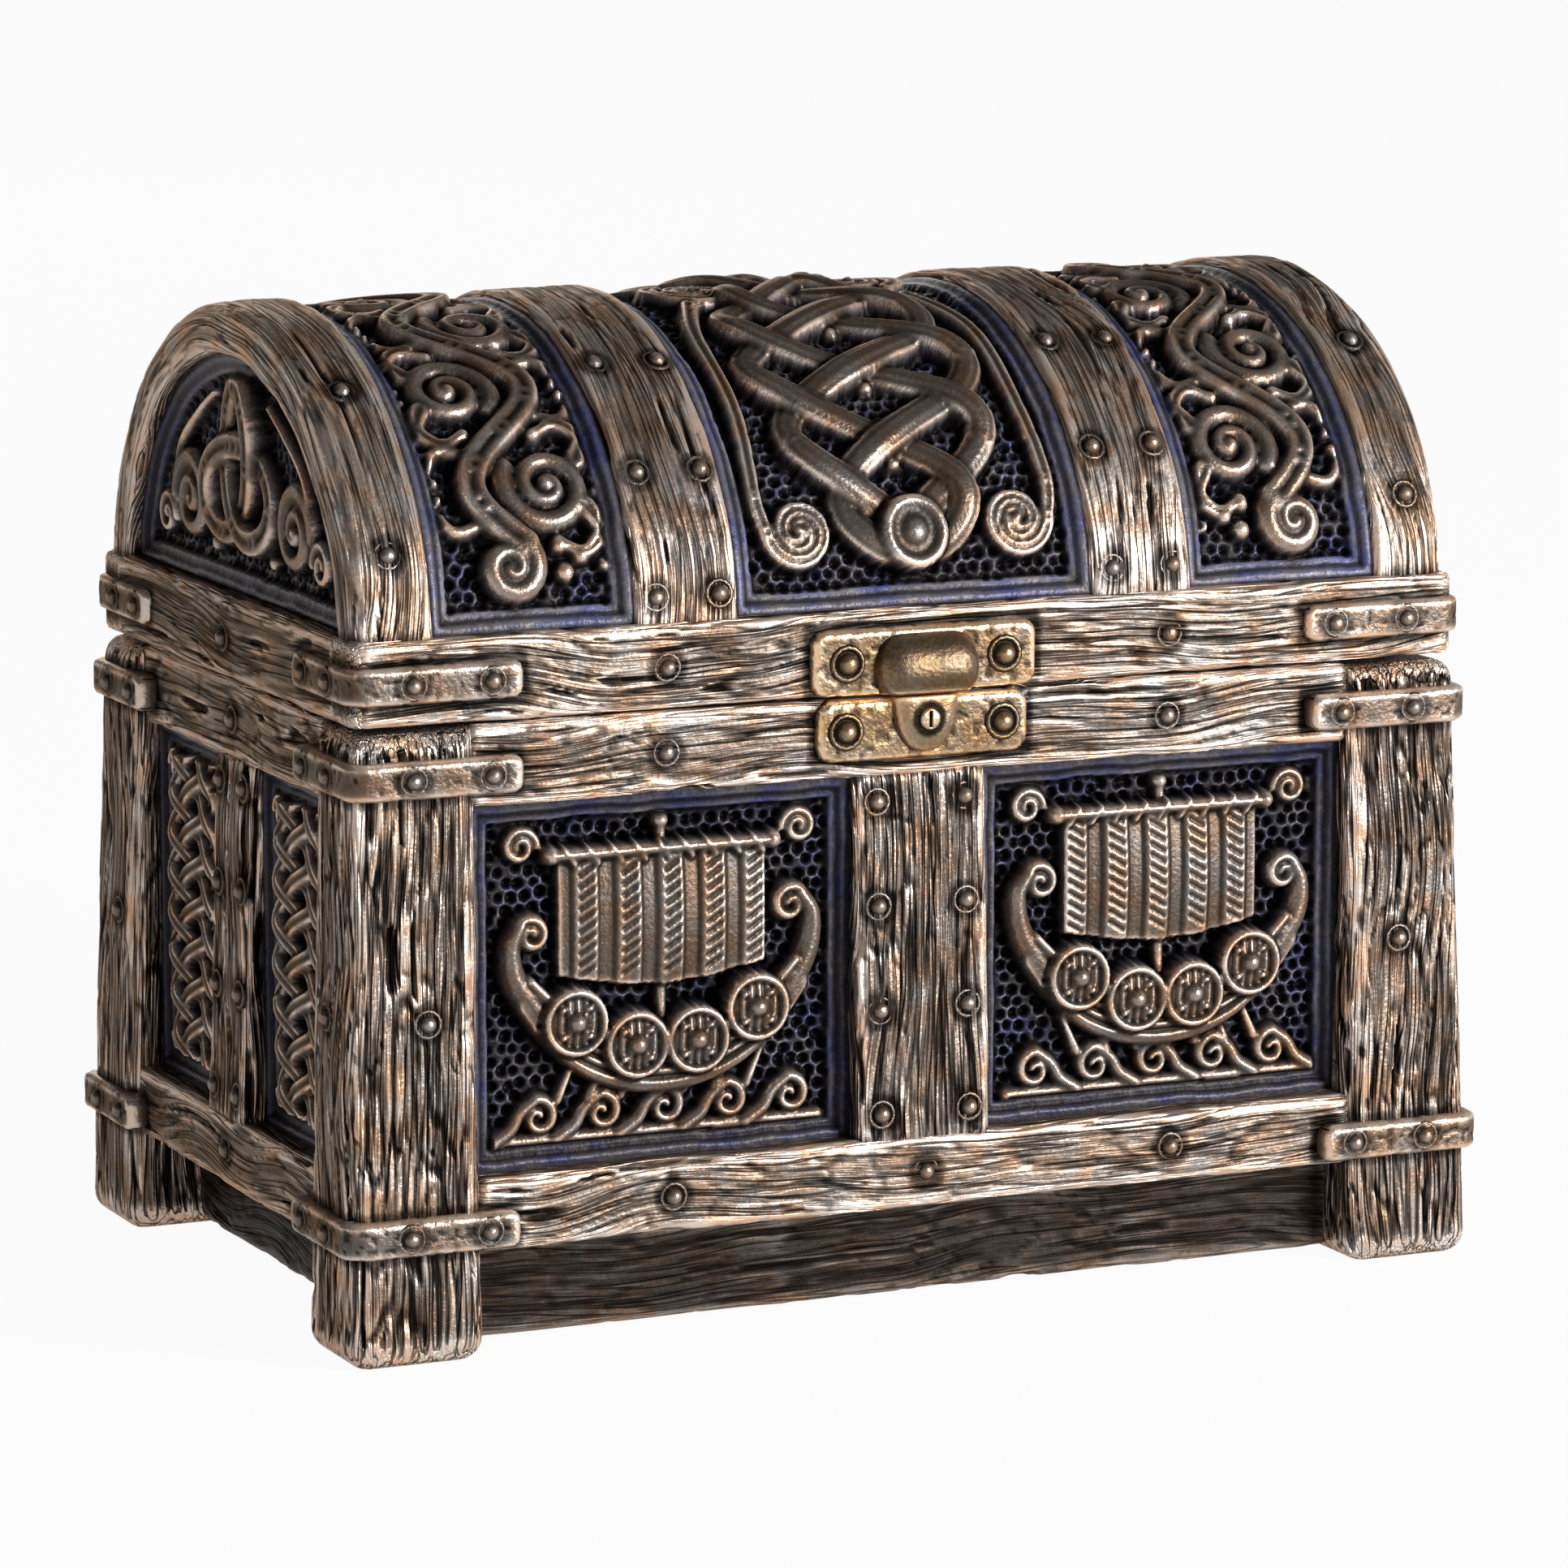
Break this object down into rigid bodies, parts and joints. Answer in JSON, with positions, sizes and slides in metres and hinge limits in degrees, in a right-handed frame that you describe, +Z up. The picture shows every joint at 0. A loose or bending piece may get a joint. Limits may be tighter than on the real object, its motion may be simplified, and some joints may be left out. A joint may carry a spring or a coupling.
{
  "type": "trinket chest",
  "caption": "Small barrel-lidded trinket chest: carved frame-and-panel box on square feet, hinged arched lid with hoops, corner straps and a front latch.",
  "frame": {"origin": "on the floor under the middle of the chest", "axes": "+X along the length to the right seen from the front, -Y the front with the latch, +Z up"},
  "size_m": [0.1312, 0.0842, 0.104],
  "materials": {
    "bronze_timber": "cast resin with bronze powder, carved wood grain, dark patina rubbed bright on the edges",
    "carved_panel": "cast resin with bronze powder, blue-black stain in the ground and rubbed bright relief",
    "strap_bronze": "hammered bronze-coloured bands and nail heads, rubbed bright",
    "latch_brass": "aged golden brass, dark in the corners",
    "hinge_brass": "aged brass",
    "pin_steel": "bright drawn wire",
    "lining": "smooth dark brown-black"
  },
  "bodies": {
    "base": {"base_nails": "strap_bronze", "bottom_rail_back": "bronze_timber", "bottom_rail_front": "bronze_timber", "bottom_rail_left": "bronze_timber", "bottom_rail_right": "bronze_timber", "floor_board": "lining", "hinge_base_leaves": "hinge_brass", "hinge_base_screws": "hinge_brass", "hinge_pins": "pin_steel", "inner_box": "lining", "lock_plate": "latch_brass", "lock_plug": "latch_brass", "lock_rivets": "latch_brass", "lock_tongue": "latch_brass", "lower_corner_straps": "strap_bronze", "panel_back_left": "carved_panel", "panel_back_right": "carved_panel", "panel_front_left": "carved_panel", "panel_front_right": "carved_panel", "panel_left_back": "carved_panel", "panel_left_front": "carved_panel", "panel_right_back": "carved_panel", "panel_right_front": "carved_panel", "plinth_back": "bronze_timber", "plinth_front": "bronze_timber", "plinth_left": "bronze_timber", "plinth_right": "bronze_timber", "post_back_left": "bronze_timber", "post_back_right": "bronze_timber", "post_front_left": "bronze_timber", "post_front_right": "bronze_timber", "stile_back": "bronze_timber", "stile_front": "bronze_timber", "stile_left": "bronze_timber", "stile_right": "bronze_timber", "top_rail_back": "bronze_timber", "top_rail_front": "bronze_timber", "top_rail_left": "bronze_timber", "top_rail_right": "bronze_timber", "upper_corner_straps": "strap_bronze"},
    "lid": {"rim_rail_front": "bronze_timber", "rim_rail_back": "bronze_timber", "rim_rail_left": "bronze_timber", "rim_rail_right": "bronze_timber", "lid_vault": "lining", "end_hoop_left": "bronze_timber", "end_hoop_right": "bronze_timber", "middle_hoop_left": "bronze_timber", "middle_hoop_right": "bronze_timber", "lid_panel_left": "carved_panel", "lid_panel_middle": "carved_panel", "lid_panel_right": "carved_panel", "lid_end_panel_left": "carved_panel", "lid_end_panel_right": "carved_panel", "lid_corner_straps": "strap_bronze", "lid_nails": "strap_bronze", "latch_plate": "latch_brass", "latch_rivets": "latch_brass", "hinge_lid_leaves": "hinge_brass", "hinge_lid_screws": "hinge_brass"}
  },
  "joints": [
    {"name": "lid_hinge", "type": "hinge", "parent": "base", "child": "lid", "pos_m": [0, 0.0399, 0.06485], "axis": [-1, 0, 0], "range_deg": [0, 100]}
  ]
}
